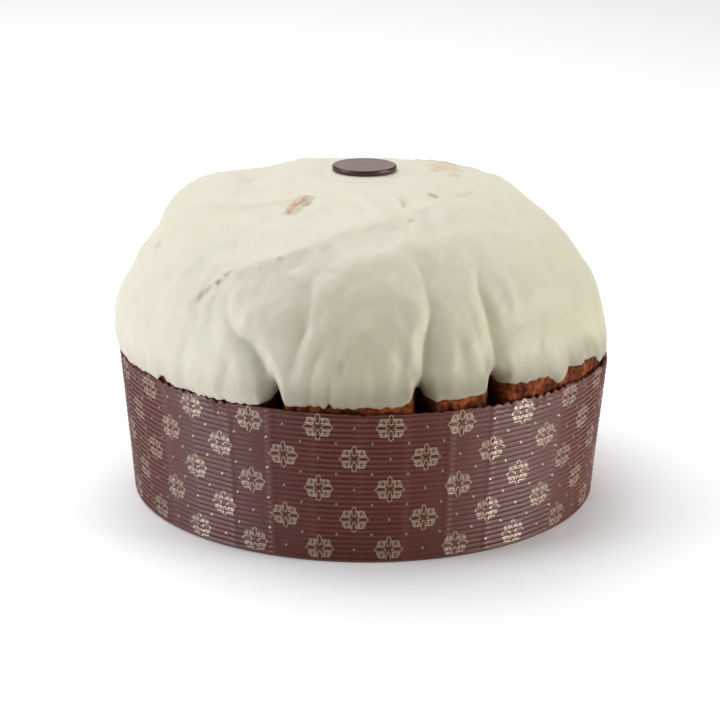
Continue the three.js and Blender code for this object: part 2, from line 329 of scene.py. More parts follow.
# Petals: four pointed ovals drawn in outline
petal_along = add(
    tree,
    "ShaderNodeMath",
    {0: along, 1: 1 / PETAL["long"], 2: -PETAL["middle"] / PETAL["long"]},
    operation="MULTIPLY_ADD",
)
petal_along = add(tree, "ShaderNodeMath", {0: petal_along, 1: petal_along}, operation="MULTIPLY")
petal_edge = add(
    tree,
    "ShaderNodeMath",
    {0: petal_along, 1: PETAL["wide"], 2: aside},
    operation="MULTIPLY_ADD",
)
petal_away = add(
    tree, "ShaderNodeMath", {0: petal_edge, 1: PETAL["wide"]}, operation="SUBTRACT"
)
petal_away = add(tree, "ShaderNodeMath", {0: petal_away}, operation="ABSOLUTE")
# Leaves: a filled block in each corner, its outer side aslant, with a vein left clear in it
x, y = sides.outputs["X"], sides.outputs["Y"]
leaf = add(tree, "ShaderNodeMath", {0: LEAF["inner"][0], 1: x}, operation="SUBTRACT")
below = add(tree, "ShaderNodeMath", {0: LEAF["inner"][1], 1: y}, operation="SUBTRACT")
above = add(tree, "ShaderNodeMath", {0: y, 1: LEAF["high"]}, operation="SUBTRACT")
slant = add(tree, "ShaderNodeMath", {0: y, 1: LEAF["lean"], 2: x}, operation="MULTIPLY_ADD")
slant = add(tree, "ShaderNodeMath", {0: slant, 1: LEAF["reach"]}, operation="SUBTRACT")
for limit in (below, above, slant):
    leaf = add(tree, "ShaderNodeMath", {0: leaf, 1: limit}, operation="MAXIMUM")
vein = add(tree, "ShaderNodeMath", {0: y, 1: -VEIN["lean"], 2: x}, operation="MULTIPLY_ADD")
vein = add(tree, "ShaderNodeMath", {0: vein, 1: VEIN["at"]}, operation="SUBTRACT")
vein = add(tree, "ShaderNodeMath", {0: vein}, operation="ABSOLUTE")
past_top = add(tree, "ShaderNodeMath", {0: y, 1: VEIN["top"]}, operation="SUBTRACT")
vein = add(tree, "ShaderNodeMath", {0: vein, 1: past_top}, operation="MAXIMUM")
leaf_edge = add(tree, "ShaderNodeMath", {0: leaf}, operation="ABSOLUTE")
lines = add(tree, "ShaderNodeMath", {0: petal_away, 1: leaf_edge}, operation="MINIMUM")
lines = add(tree, "ShaderNodeMath", {0: lines, 1: INK_LINE}, operation="SUBTRACT")
# Dots: one between each two rosettes of a row, and one in the middle of each four
dot_middle = add(
    tree,
    "ShaderNodeVectorMath",
    {0: motif, 1: (LATTICE_WIDE / ROSETTE_WIDER / 2, ROW_STEP / 2, 0)},
    operation="DISTANCE",
).node.outputs["Value"]
steps = add(tree, "ShaderNodeSeparateXYZ", {0: folded}).node
step_far = add(
    tree, "ShaderNodeMath", {0: steps.outputs["X"], 1: steps.outputs["Y"]}, operation="MAXIMUM"
)
step_near = add(
    tree, "ShaderNodeMath", {0: steps.outputs["X"], 1: steps.outputs["Y"]}, operation="MINIMUM"
)
dot_place = add(tree, "ShaderNodeCombineXYZ", {0: step_far, 1: step_near})
dot_row = add(
    tree,
    "ShaderNodeVectorMath",
    {0: dot_place, 1: (1, 0, 0)},
    operation="DISTANCE",
).node.outputs["Value"]
dot_row = add(tree, "ShaderNodeMath", {0: dot_row, 1: ROW_STEP}, operation="MULTIPLY")
dots = add(tree, "ShaderNodeMath", {0: dot_middle, 1: dot_row}, operation="MINIMUM")
dots = add(tree, "ShaderNodeMath", {0: dots, 1: DOT}, operation="SUBTRACT")
away = add(tree, "ShaderNodeMath", {0: lines, 1: dots}, operation="MINIMUM")
on_wall = add(
    tree, "ShaderNodeMath", {0: parts.outputs["Z"], 1: PRINT_FROM * MM}, operation="GREATER_THAN"
)
inked = add(
    tree,
    "ShaderNodeMapRange",
    {"Value": away, "From Min": INK_SOFT, "From Max": -INK_SOFT, "To Max": INK_COVER},
)
fill = add(
    tree,
    "ShaderNodeMapRange",
    {"Value": leaf, "From Min": INK_SOFT, "From Max": -INK_SOFT, "To Max": LEAF["fill"]},
)
clear_of_vein = add(
    tree,
    "ShaderNodeMapRange",
    {"Value": vein, "From Min": VEIN["wide"] / 2, "From Max": VEIN["wide"] * 1.5},
)
fill = add(tree, "ShaderNodeMath", {0: fill, 1: clear_of_vein}, operation="MULTIPLY")
inked = add(tree, "ShaderNodeMath", {0: inked, 1: fill}, operation="MAXIMUM")
inked = add(tree, "ShaderNodeMath", {0: inked, 1: on_wall}, operation="MULTIPLY")
cloud = add(
    tree,
    "ShaderNodeTexNoise",
    {"Vector": place, "Scale": 1 / (PAPER_CLOUD * MM), "Detail": 4},
)
fibre = add(
    tree,
    "ShaderNodeTexNoise",
    {"Vector": place, "Scale": 1 / (PAPER_FIBRE * MM), "Detail": 6},
)
paper_colour = add(
    tree,
    "ShaderNodeMix",
    {"Factor": cloud, 6: linear(PAPER_DARK), 7: linear(PAPER)},
    data_type="RGBA",
).node.outputs[2]
colour = add(
    tree,
    "ShaderNodeMix",
    {"Factor": inked, 6: paper_colour, 7: linear(PAPER_INK)},
    data_type="RGBA",
).node.outputs[2]
tree.links.new(colour, shader.inputs["Base Color"])
ink_metal = add(tree, "ShaderNodeMath", {0: inked, 1: INK_METALLIC}, operation="MULTIPLY")
tree.links.new(ink_metal, shader.inputs["Metallic"])
gloss = add(
    tree,
    "ShaderNodeMapRange",
    {"Value": inked, "To Min": PAPER_ROUGHNESS, "To Max": INK_ROUGHNESS},
)
tree.links.new(gloss, shader.inputs["Roughness"])
shader.inputs["IOR"].default_value = PAPER_IOR
relief = add(
    tree,
    "ShaderNodeBump",
    {"Height": fibre, "Distance": FIBRE_HEIGHT * MM, "Strength": 0.6},
)
tree.links.new(relief, shader.inputs["Normal"])
stand_for(paper_case, "paper_case", baking_paper)


# Bread
# A sweet yeast loaf. It filled the case as it rose, then swelled over the rim in lobes that split
# along clefts, and a lip of dough peeled back from the cut in its top.
# Only its browned crust shows, in a strip above the rim and deep in the clefts.
DOME_START = 60
NECK_RADIUS = 106
WIDEST_Z = 70
WIDEST_RADIUS = 107.3
CROWN_Z = 139
RADIAL_POWER = 2.95
HEIGHT_POWER = 1.6
ICING = 2
GAP = 0.3
BREAD_ROUND = 3
CLEFT_FOOT = 46
CASE_SIDES = 38
CLOSE_SPAN = (-58, 74)
CLOSE_STEP = 0.3
WIDE_STEP = 0.8

# Clefts: where each starts, how it leans and sways as it climbs, its gash and its crease. The
# front three go on upwards as paths, and the back has seven more.
clefts = [
    {"at": -20.4, "lean": -4, "sway": 0, "gash": 10, "crease": 0, "reach": 62, "fades": 62},
    {"at": 13.2, "lean": 1.3, "sway": 0, "gash": 11, "crease": 0, "reach": 88, "fades": 70},
    {"at": 31.6, "lean": 1, "sway": 0, "gash": 12, "crease": 0, "reach": 80, "fades": 74},
]
seed = 41


def draw():
    """A repeatable draw between -1 and 1, the same as in the part's source."""
    global seed
    seed = (seed * 1664525 + 1013904223) % 4294967296
    return seed / 4294967296 * 2 - 1


BACK_CLEFTS = 7
BACK_FROM = 96
BACK_STEP = 28
for i in range(BACK_CLEFTS):
    clefts.append(
        {
            "at": BACK_FROM + i * BACK_STEP + 4 * draw(),
            "lean": 6 * draw(),
            "sway": 3 * draw(),
            "gash": 8 + 3 * draw(),
            "crease": 3.4 + draw(),
            "reach": 74 + 12 * draw(),
            "fades": 70,
        }
    )
CLEFT_START = 10
GASH = {"width": 6.2, "sharpness": 1.5, "from": -14, "full": 4, "fading": 11, "gone": 23}
CREASE = {"width": 11, "sharpness": 2.2, "from": -6, "full": 12, "fading_share": 0.35}

# Lobes: middle as azimuth and climb, half sizes in degrees and millimetres, height
LOBES = [
    (-25, 46, 15, 30, 1.6),
    (-34, 16, 17, 20, 1.6),
    (0, 36, 17, 52, 1.3),
    (22, 36, 10, 40, 1.3),
    (48, 42, 22, 48, 0.9),
    (-144, 103, 30, 24, 1.7),
    (-104, 72, 19, 15, 2.5),
    (-121, 88, 12, 10, -0.5),
    (98, 54, 12, 12, 1.3),
    (92, 32, 12, 14, 0.6),
    (-80, 38, 46, 34, 1.3),
    (-102, 78, 44, 25, 5.2),
    (84, 46, 32, 34, 1.6),
    (120, 84, 46, 32, 2.8),
]
LOBE = {"roundness": 2.4, "brow": 1.5, "from": 2, "full": 12}

# Creases and ridges, each walked from end to end through places given as azimuth, climb and
# depth (a ridge's is negative), with the millimetres that its flanks reach to the left and right
PATHS = [
    # the left cleft's crease, which leans away as it climbs, and a short branch of it
    ([(-20.4, 5, 1), (-21, 16, 3), (-22.3, 23, 3.0), (-25.5, 30, 2.4), (-30.5, 33.5, 1.5),
      (-34, 40, 1.0), (-36, 48, 0.5), (-38, 56, 0)], 6, 6),
    ([(-28, 32, 0), (-24, 34, 0.9), (-20.5, 31, 0.6), (-18.5, 24, 0)], 4, 4),
    # the fold beside it, broad on its left and sharp on its right
    ([(-16.8, 14, 0), (-16.2, 24, 1.2), (-15.3, 32, 1.6), (-13.8, 40, 1.7), (-13.3, 48, 1.5),
      (-14.2, 57, 1.1), (-17, 65, 0.6), (-20.5, 72, 0)], 15, 7),
    ([(-11.8, 6, 0.7), (-11.8, 18, 1.1), (-11, 26, 1.0), (-9.2, 34, 0.5), (-8, 42, 0)], 4.5, 7),
    # the middle cleft's crease and its branch
    ([(13.2, 5, 1), (13.2, 18, 3.2), (13.6, 28, 3.4), (14.4, 36, 3), (16.2, 44, 2.8),
      (17, 52, 2.3), (17, 60, 1.4), (16.5, 68, 0.7), (16, 80, 0)], 6, 12),
    ([(17.5, 42, 0), (20.5, 52, 0.8), (24, 62, 0.5), (26, 72, 0)], 5, 5),
    # the right cleft's crease
    ([(30.3, 5, 1), (31.2, 18, 3), (31.8, 26, 3.2), (31.6, 36, 3.2), (32.2, 44, 2.8),
      (31.8, 52, 2.3), (33, 60, 1.5), (36, 67, 0.7), (39, 76, 0)], 6, 12),
    # icing that bulged over the clefts' left sides
    ([(11.4, 17, 0), (12, 21, -0.9), (12.2, 25, -0.9), (12, 32, 0)], 3, 2.5),
    ([(28.8, 17, 0), (29.6, 22, -1.3), (29.6, 26, -1), (29.2, 33, 0)], 3.5, 2.5),
    # furrows and runs low on the front
    ([(-7.2, 6, 0.5), (-7.2, 14, 0.4), (-7.8, 24, 0)], 3, 3),
    ([(-5.8, 18, 0), (-4.8, 24, 0.7), (-3.4, 32, 0)], 3, 4),
    ([(2.5, 8, 0.3), (2, 18, 0.3), (1, 30, 0)], 4, 4),
    ([(-43, 6, 0.3), (-44, 22, 0.6), (-43, 36, 0.4), (-41, 46, 0)], 9, 9),
    ([(43, 14, 0.3), (45.5, 30, 0.8), (49, 42, 0.6), (54, 58, 0)], 7, 5),
    ([(49.8, 8, -1), (49.8, 20, -0.7), (50.2, 34, 0)], 5, 5),
    ([(54.4, 12, 0.6), (54.2, 28, 0.4), (56, 46, 0)], 4, 4),
    ([(62, 10, 0.4), (63, 30, 0.4), (66, 50, 0)], 6, 6),
    # the lip of dough that peeled back, from low on the left to the top of the front
    ([(-45, 50, 0), (-38, 59, -1.1), (-31, 65, -1.4), (-25, 70, -1.2), (-20, 75.5, -0.8),
      (-13, 84, -0.3), (-8, 88, 0)], 13, 7),
    ([(-25, 71, 0), (-19, 77, -0.4), (-12, 85, -0.5), (-4, 91, -0.6), (6, 95, -0.6),
      (15, 97, -0.5), (22, 96, -0.3), (34, 88, 0)], 13, 11),
    # a terrace above it on the left
    ([(-82, 74, 0), (-73, 82.5, -1.2), (-63, 92, -1.4), (-47, 103, -1.1), (-36, 112, -0.7),
      (-28, 121, 0)], 13, 5),
]
PATH_FLANK = 1.8
PATH_ROUND = 0.7
CORNER_CUTS = 2
SIDE = {"swell": 2.0, "from": 2, "full": 22, "fading": 62, "gone": 96}
PLAIN_CROWN = {"from": 32, "to": 20}

swings = np.linspace(0, math.pi / 2, 601)
profile_r = WIDEST_RADIUS * np.maximum(np.cos(swings), 0) ** (2 / RADIAL_POWER)
profile_z = WIDEST_Z + (CROWN_Z - WIDEST_Z) * np.sin(swings) ** (2 / HEIGHT_POWER)
profile_r = np.append(NECK_RADIUS, profile_r)
profile_z = np.append(DOME_START, profile_z)
lengths = np.hypot(np.diff(profile_r), np.diff(profile_z))
profile_climb = np.append(0, np.cumsum(lengths))
DOME_LENGTH = profile_climb[-1]
profile_steep = np.arctan2(np.diff(profile_z), -np.diff(profile_r))
middle_climb = (profile_climb[1:] + profile_climb[:-1]) / 2


def cleft_relief(c, azimuth, climb, radius):
    """How far a cleft's gash and crease cut in: never above 0."""
    along = np.clip((climb - CLEFT_START) / (c["reach"] - CLEFT_START), 0, 1)
    middle = c["at"] + c["lean"] * along + c["sway"] * np.sin(math.pi * along)
    aside = np.abs(np.radians(turn(azimuth, middle))) * radius
    gash = smooth_rise(climb, GASH["from"], GASH["full"])
    gash = gash * (1 - smooth_rise(climb, GASH["fading"], GASH["gone"]))
    crease = smooth_rise(climb, CREASE["from"], CREASE["full"])
    crease = crease * (1 - smooth_rise(climb, CREASE["fading_share"] * c["fades"], c["fades"]))
    in_gash = np.maximum(0, 1 - aside / GASH["width"]) ** GASH["sharpness"]
    in_crease = np.maximum(0, 1 - aside / CREASE["width"]) ** CREASE["sharpness"]
    return -c["gash"] * gash * in_gash - c["crease"] * crease * in_crease


def corners_cut(places):
    """The same path with its corners cut off, so that its flanks have no creases."""
    places = np.array(places, float)
    for _ in range(CORNER_CUTS):
        near = 0.75 * places[:-1] + 0.25 * places[1:]
        far = 0.25 * places[:-1] + 0.75 * places[1:]
        between = np.stack([near, far], 1).reshape(-1, 3)
        places = np.concatenate([places[:1], between[1:-1], places[-1:]])
    return places


def beside_path(places, azimuth, climb):
    """Millimetres from a path, signed millimetres to its right, and the value carried along it."""
    places = np.array(places, float)
    middle = places[len(places) // 2, 0]
    across = np.radians(turn(azimuth, middle)) * np.interp(climb, profile_climb, profile_r)
    steps = np.radians(places[:, 0] - middle) * np.interp(places[:, 1], profile_climb, profile_r)
    away = np.full(across.shape, 1e6)
    right = np.zeros(across.shape)
    carried = np.zeros(across.shape)
    for i in range(len(places) - 1):
        way = np.array([steps[i + 1] - steps[i], places[i + 1, 1] - places[i, 1]])
        long = np.hypot(*way)
        way = way / long
        off_x, off_y = across - steps[i], climb - places[i, 1]
        walked = np.clip(off_x * way[0] + off_y * way[1], 0, long)
        distance = np.hypot(off_x - walked * way[0], off_y - walked * way[1])
        closer = distance < away
        right = np.where(closer, off_x * way[1] - off_y * way[0], right)
        value = places[i, 2] + (places[i + 1, 2] - places[i, 2]) * walked / long
        carried = np.where(closer, value, carried)
        away = np.where(closer, distance, away)
    return away, right, carried


def path_relief(azimuth, climb):
    """How far the creases and ridges along the listed paths stand in or out."""
    azimuth, climb = np.broadcast_arrays(azimuth, climb)
    out = np.zeros(climb.shape)
    for places, left_reach, right_reach in PATHS:
        away, right, deep = beside_path(corners_cut(places), azimuth, climb)
        flank = np.where(right < 0, left_reach, right_reach)
        share = (np.sqrt(away**2 + PATH_ROUND**2) - PATH_ROUND) / flank
        out = out - deep * np.maximum(0, 1 - share) ** PATH_FLANK
    return out


def dome_relief(azimuth, climb, radius):
    """Millimetres by which the loaf's main forms stand out from the plain dome."""
    swell = smooth_rise(climb, SIDE["from"], SIDE["full"])
    swell = swell * (1 - smooth_rise(climb, SIDE["fading"], SIDE["gone"]))
    out = path_relief(azimuth, climb) - SIDE["swell"] * np.sin(np.radians(azimuth)) * swell
    for c in clefts:
        out = out + cleft_relief(c, azimuth, climb, radius)
    for at, up, wide, tall, high in LOBES:
        far = np.hypot(turn(azimuth, at) / wide, (climb - up) / tall)
        swelling = np.maximum(0, 1 - far ** LOBE["roundness"]) ** LOBE["brow"]
        out = out + high * swelling * smooth_rise(climb, LOBE["from"], LOBE["full"])
    crown = smooth_rise(climb, DOME_LENGTH - PLAIN_CROWN["from"], DOME_LENGTH - PLAIN_CROWN["to"])
    return out * (1 - crown)


def on_dome(azimuth, climb, extra):
    """Points on the loaf's main forms, standing out by extra more millimetres."""
    azimuth, climb, extra = np.broadcast_arrays(azimuth, climb, extra)
    radius = np.interp(climb, profile_climb, profile_r)
    height = np.interp(climb, profile_climb, profile_z)
    steep = np.interp(climb, middle_climb, profile_steep)
    out = dome_relief(azimuth, climb, radius) + extra
    return around(azimuth, radius + out * np.sin(steep), height + out * np.cos(steep))


# The icing's lower edge, as azimuth and climb along the front: it notches in the clefts, stops
# short of the rim over the bare strip, and runs down it in one long drip
FRONT_EDGE = [(-84, 4), (-66, 5), (-60, 5.6), (-54, 5.8), (-52.6, 8.2), (-51, 8)]
FRONT_EDGE += [(-50, 5.8), (-44, 5.8), (-36, 5.9), (-30, 6.2), (-26, 6.4), (-21.9, 6.8)]
FRONT_EDGE += [(-21.4, 8.6), (-21, 11.8), (-20.5, 13.2), (-19.8, 12.2), (-18.6, 9), (-17.4, 7.2)]
FRONT_EDGE += [(-15, 7.8), (-11.5, 8.2), (-8.2, 8), (-7.5, 9.6), (-6.8, 8), (-2, 8.1)]
FRONT_EDGE += [(-0.5, 8.8), (4, 8.5), (8.5, 9), (9.8, 10.4), (10.8, 13.2), (11.6, 15.6)]
FRONT_EDGE += [(12.5, 16.2), (13.4, 15.8), (13.9, 14), (14.3, 11), (15.2, 10.2), (22, 10.6)]
FRONT_EDGE += [(27.4, 11), (28.1, 12.6), (28.5, 17), (29.2, 18.2), (31.6, 18.2), (32.4, 16.6)]
FRONT_EDGE += [(33, 14.4), (35, 13), (38, 12.6), (42, 12.2), (45.6, 12.6), (46.8, 10.8)]
FRONT_EDGE += [(48.2, 8.6), (49.6, 7.6), (51.2, 8), (52.8, 9.8), (54, 12.2), (56, 12.2)]
FRONT_EDGE += [(60, 11.2), (66, 11)]
FRONT_EDGE += [(68.5, 10.2), (70.5, 7), (74, 4), (84, 4)]
FRONT_SPAN = (80, 84)
BACK_EDGE = 8.0
# Unevenness is given as height, size and seed
BACK_WAVES = [(0.6, 24, 8), (0.5, 11, 9)]
RAGGED = [(0.2, 9, 5), (0.35, 3.4, 6)]
ABOVE_RIM = 0.25
NOTCH = {"per_gash": 0.8, "wide": 1.75}
EDGE_SOFT = 0.25


def icing_edge(azimuth):
    """The climb at which the icing stops."""
    places, climbs = zip(*FRONT_EDGE)
    ragged = around(azimuth, WIDEST_RADIUS, 0)
    front = 0
    for nudge in (-EDGE_SOFT, 0, EDGE_SOFT):
        front = front + np.interp(turn(azimuth + nudge, 0), places, climbs, left=-1, right=-1) / 3
    back = BACK_EDGE
    for high, size, chance in BACK_WAVES:
        back = back + high * lumps(ragged, size, chance)
    for c in clefts:
        aside = turn(azimuth, c["at"]) / NOTCH["wide"]
        back = back + NOTCH["per_gash"] * c["gash"] * bell(aside * aside)
    at_front = smooth_rise(-np.abs(turn(azimuth, 0)), -FRONT_SPAN[1], -FRONT_SPAN[0])
    climb = back + (front - back) * at_front
    for high, size, chance in RAGGED:
        climb = climb + high * lumps(ragged, size, chance)
    return np.maximum(climb, rim_height(azimuth) - DOME_START + ABOVE_RIM)


columns = np.concatenate(
    [np.arange(*CLOSE_SPAN, CLOSE_STEP), np.arange(CLOSE_SPAN[1], 360 + CLOSE_SPAN[0], WIDE_STEP)]
)
edge = icing_edge(columns)
CRUST_ROWS = 26
UNDER_ROWS = 26
UNDER_ICING = ICING + 0.5
UNDER_EDGE = 3
LOAF_TOP = 8
BREAD_BASE = CASE_FLOOR + GAP
WRINKLES = [(0.4, 7, 11), (0.3, 3.4, 12)]
PITS = (0.2, 2.6, 13)
WRINKLE_MOST = 0.5
WRINKLES_FROM = 4
WRINKLES_END = 1.0
UPRIGHT = 0.6
CLEFT_SHADE = (1, 9)


def bread_ring(z, inset):
    flat_side = (outside_radius(z) - CASE_WALL) * math.cos(math.pi / CASE_SIDES)
    return around(columns, flat_side - GAP - inset, z)


bare_climb = np.linspace(GAP, 1, CRUST_ROWS)[:, None] * (edge + UNDER_EDGE)
bare_points = on_dome(columns, bare_climb, -(ICING + GAP))
# The crust is torn and wrinkled up the side, and pitted
wrinkle = 0
for high, size, chance in WRINKLES:
    wrinkle = wrinkle + high * lumps(bare_points * (1, 1, UPRIGHT), size, chance)
wrinkle = wrinkle + PITS[0] * lumps(bare_points, *PITS[1:])
past_edge = smooth_rise(bare_climb - edge, -WRINKLES_END, WRINKLES_END)
showing = smooth_rise(bare_climb, 0, WRINKLES_FROM) * (1 - past_edge)
bare = on_dome(columns, bare_climb, np.minimum(wrinkle, WRINKLE_MOST) * showing - (ICING + GAP))
under_share = np.linspace(0, 1, UNDER_ROWS)[1:, None]
under_span = DOME_LENGTH - LOAF_TOP - edge - UNDER_EDGE
under_climb = edge + UNDER_EDGE + under_span * under_share
under = on_dome(columns, under_climb, -UNDER_ICING)
in_case = [
    bread_ring(BREAD_BASE, BREAD_ROUND),
    bread_ring(BREAD_BASE + BREAD_ROUND, 0),
    bread_ring(CLEFT_FOOT, 0),
]
loaf_rings = np.concatenate([np.stack(in_case), bare, under])


def depth_share(azimuth, climb):
    """1 in the bottom of a cleft and 0 out on a lobe."""
    radius = np.interp(climb, profile_climb, profile_r)
    azimuth = np.broadcast_to(azimuth, climb.shape)
    sunk = sum(cleft_relief(c, azimuth, climb, radius) for c in clefts)
    return smooth_rise(-sunk, *CLEFT_SHADE)


# Painted shade: a share that darkens the bare crust deep in the clefts
shade = np.zeros(loaf_rings.shape[:2])
shade[len(in_case) : len(in_case) + CRUST_ROWS] = depth_share(columns, bare_climb)
bread = ring_mesh("bread_look", loaf_rings, {"cleft_painted_shade": shade})

# Baked crust: matt, mid brown where the dough swelled out, with painted shade that darkens it
# deep in the clefts, pale scuffs, small dark pores and stretch marks that run up the side.
CRUST_LIGHT = "#96502a"
CRUST = "#6b3114"
CRUST_DARK = "#42190a"
# Painted shade colour for deep in the clefts
CRUST_CLEFT_PAINTED_SHADE = "#2a1108"
PORE = 2.2
STRETCH_MARK = 3
BROWNED_PATCH = 11
CRUST_GRAIN = 0.35

baked_crust, tree, shader = new_material("baked_crust_matt")
place = add(tree, "ShaderNodeTexCoord").node.outputs["Object"]
stretched = add(tree, "ShaderNodeMapping", {"Vector": place, "Scale": (1, 1, 1.2)})
streaks = add(
    tree,
    "ShaderNodeTexNoise",
    {"Vector": stretched, "Scale": 1 / (STRETCH_MARK * MM), "Detail": 5, "Roughness": 0.6},
)
patches = add(
    tree, "ShaderNodeTexNoise", {"Vector": place, "Scale": 1 / (BROWNED_PATCH * MM), "Detail": 3}
)
browned = add(tree, "ShaderNodeMath", {0: streaks, 1: patches}, operation="ADD")
browned = add(
    tree, "ShaderNodeMapRange", {"Value": browned, "From Min": 0.8, "From Max": 1.2}
)
crust_ramp = add(tree, "ShaderNodeValToRGB", {"Fac": browned}).node
crust_ramp.color_ramp.elements[0].color = linear(CRUST_DARK)
crust_ramp.color_ramp.elements[1].color = linear(CRUST_LIGHT)
crust_ramp.color_ramp.elements.new(0.5).color = linear(CRUST)
pores = add(
    tree, "ShaderNodeTexVoronoi", {"Vector": place, "Scale": 1 / (PORE * MM), "Randomness": 1}
)
pore = add(
    tree,
    "ShaderNodeMapRange",
    {"Value": pores, "From Min": 0.1, "From Max": 0.3, "To Min": 0.7, "To Max": 1},
)
pored = add(
    tree,
    "ShaderNodeMix",
    {"Factor": pore, 6: linear(CRUST_DARK), 7: crust_ramp.outputs["Color"]},
    data_type="RGBA",
).node.outputs[2]
cleft_painted_shade = add(tree, "ShaderNodeAttribute", attribute_name="cleft_painted_shade").node.outputs["Fac"]
# Painted shade: the crust turns near black deep in the clefts
crust_colour = add(
    tree,
    "ShaderNodeMix",
    {"Factor": cleft_painted_shade, 6: pored, 7: linear(CRUST_CLEFT_PAINTED_SHADE)},
    data_type="RGBA",
).node.outputs[2]
tree.links.new(crust_colour, shader.inputs["Base Color"])
shader.inputs["Roughness"].default_value = 0.7
shader.inputs["IOR"].default_value = 1.45
shader.inputs["Specular IOR Level"].default_value = 0.15
crust_height = add(tree, "ShaderNodeMath", {0: streaks, 1: pore}, operation="ADD")
relief = add(
    tree,
    "ShaderNodeBump",
    {"Height": crust_height, "Distance": CRUST_GRAIN * MM, "Strength": 0.8},
)
tree.links.new(relief, shader.inputs["Normal"])
stand_for(bread, "bread", baked_crust)


# Icing
# Melted white chocolate is poured over the cooled loaf. It bridges the small creases, runs down
# in soft folds, and sets with a rounded lip that stops short of the case's rim.
# Crags of crust stand out of it or stain it in a few places.
# Waves of the icing's own: height, size, seed, and 1 or the share that draws them out upwards
WAVES = [(0.42, 30, 21, 1), (0.28, 12, 22, 0.6), (0.08, 5.5, 23, 1)]
WAVES_SUNK = 0.6
RUNS = {"high": 0.26, "size": 9, "seed": 24, "stretch": 0.15, "fading": 20, "gone": 76}
PLAIN_TOP = {"from": 36, "to": 20}
EDGE_BEAD = {"high": 0.2, "at": 3, "wide": 4}
LIP_REACH = 5.5
LIP_ROWS = 14
RIM_REST = 0.75
NEAR_RIM = (0.3, 2.5)
# Painted shade at the icing's edge and low on the front: reaches, shares and spans
PAINTED_EDGE_SHADE = {"to": 14, "share": 0.95, "aside": 0.3}
PAINTED_LOW_SHADE = {"from": 12, "to": 88, "share": 0.4}
PAINTED_SHADE_SPAN = (-34, -6, 80, 100)
PAINTED_LOW_SHADE_SPAN = (-26, -2)
FACE_ROWS = 126
INNER_ROWS = 64
OUTER_TOP = 1.2
INNER_TOP = 9
INNER_FOOT = 0.2
DISC_AT = (-0.5, 3.7)
DISC_RADIUS = 13.9
DISC_TILT = 1.6
BED = {"from": 13.2, "to": 19, "below": 0.12}


def fine_relief(azimuth, climb, points):
    """What the icing adds to the loaf's main forms: runs near its edge and a soft unevenness."""
    out = -WAVES_SUNK
    for high, size, chance, upright in WAVES:
        out = out + high * lumps(points * (1, 1, upright), size, chance)
    along = around(azimuth, WIDEST_RADIUS, climb * RUNS["stretch"])
    runs = RUNS["high"] * lumps(along, RUNS["size"], RUNS["seed"])
    out = out + runs * (1 - smooth_rise(climb, RUNS["fading"], RUNS["gone"]))
    top = DOME_LENGTH - climb
    return out * smooth_rise(top, PLAIN_TOP["to"], PLAIN_TOP["from"])


# Cracks: places as azimuth, climb and depth, and the millimetres in which each runs out. The
# icing broke along an edge of crust and sank on the right of the way walked.
CRACKS = [
    ([(-35.6, 95.5, 0.5), (-37, 100, 0.3), (-37.6, 105, 0.35), (-37, 109.5, 0.3),
      (-35.6, 112.6, 0.1)], 5),
    ([(-46.2, 41, 0), (-44.4, 46.5, 0.6), (-42.6, 51, 0.6), (-41, 53.6, 0.5),
      (-39.4, 57, 0.5), (-38, 59, 0)], 4),
    ([(16.5, 94.6, 0), (18.4, 95.2, 0.5), (20.6, 96.4, 0.4), (22, 97, 0)], 3),
    ([(18.5, 105, 0), (20.4, 108, 0.9), (22.5, 112, 0.9), (26.5, 118.5, 0)], 5),
    ([(44, 117.5, 0), (47, 115.5, 0.8), (48.4, 111, 1), (47, 107.5, 0)], 5),
    ([(58, 109.5, 0), (64, 107.4, 0.8), (72, 105, 0.7), (80, 103, 0)], 5),
    ([(-52.5, 40.5, 0), (-50, 37.8, 0.7), (-47.6, 36.8, 0.6), (-45, 37.6, 0)], 3),
    ([(50, 70, 0), (53, 71, 0.5), (56, 72, 0)], 3),
    ([(-70, 52, 0), (-66, 58, 0.5), (-60, 62, 0.4), (-55, 63, 0)], 5),
    ([(62, 78, 0), (70, 84, 0.6), (78, 86, 0.5), (86, 84, 0)], 6),
    ([(-88, 96, 0), (-78, 103, 0.6), (-66, 108, 0.6), (-56, 110, 0)], 5),
]
CRACK = {"edge": 0.7, "brow": 0.35, "brow_wide": 2.0}

FLAKE = {"size": 3.4, "high": 0.5, "base": 0.6, "seed": 31}

# Bared crust, flaky and thinly veiled by the icing: azimuth, climb, half sizes in degrees and
# millimetres, how strongly
BARED = [
    (-37.4, 98.6, 1.9, 2.9, 0.9),
    (-38.6, 104, 2.4, 3.6, 0.9),
    (-38.2, 109.8, 2.4, 2.6, 0.85),
    (-35.8, 112.2, 1.8, 1.6, 0.7),
    (-43.4, 49.6, 0.45, 1.7, 0.5),
    (-41.5, 53.2, 0.75, 1.3, 0.85),
    (-39.6, 56.9, 0.9, 0.7, 0.8),
    (-38.7, 58.2, 0.45, 0.6, 0.6),
    (19.6, 95.6, 1.2, 1.3, 0.55),
    (-77.4, 55.2, 1.3, 1.8, 0.5),
    (-30.2, 63, 0.5, 0.8, 0.3),
    (-50.4, 38.2, 1.2, 0.5, 0.3),
    (140, 103, 12, 5, 0.6),
    (122, 111, 13, 6, 0.5),
    (116, 118, 4, 3, 0.5),
]
# Painted shade, grey-green, in the hollows and dents beside the crags, and a few small dark
# specks, listed in the same way
SHADED = [
    (-33.4, 106.8, 2.0, 2.8, 1.0),
    (-34.2, 100.5, 2.8, 4.4, 0.5),
    (-44.6, 46.5, 0.7, 3.2, 0.5),
    (-25.2, 68.2, 0.9, 0.7, 0.5),
    (-12, 77, 2.4, 3.0, 0.25),
    (21.4, 111, 1.7, 3.6, 0.35),
    (47.4, 113, 1.8, 3.0, 0.35),
    (-8.8, 76.6, 0.35, 0.6, 0.5),
    (-5, 24.5, 0.8, 3, 0.3),
    (101, 112.5, 5, 2.5, 0.35),
    (132, 101, 4, 2.4, 0.5),
]


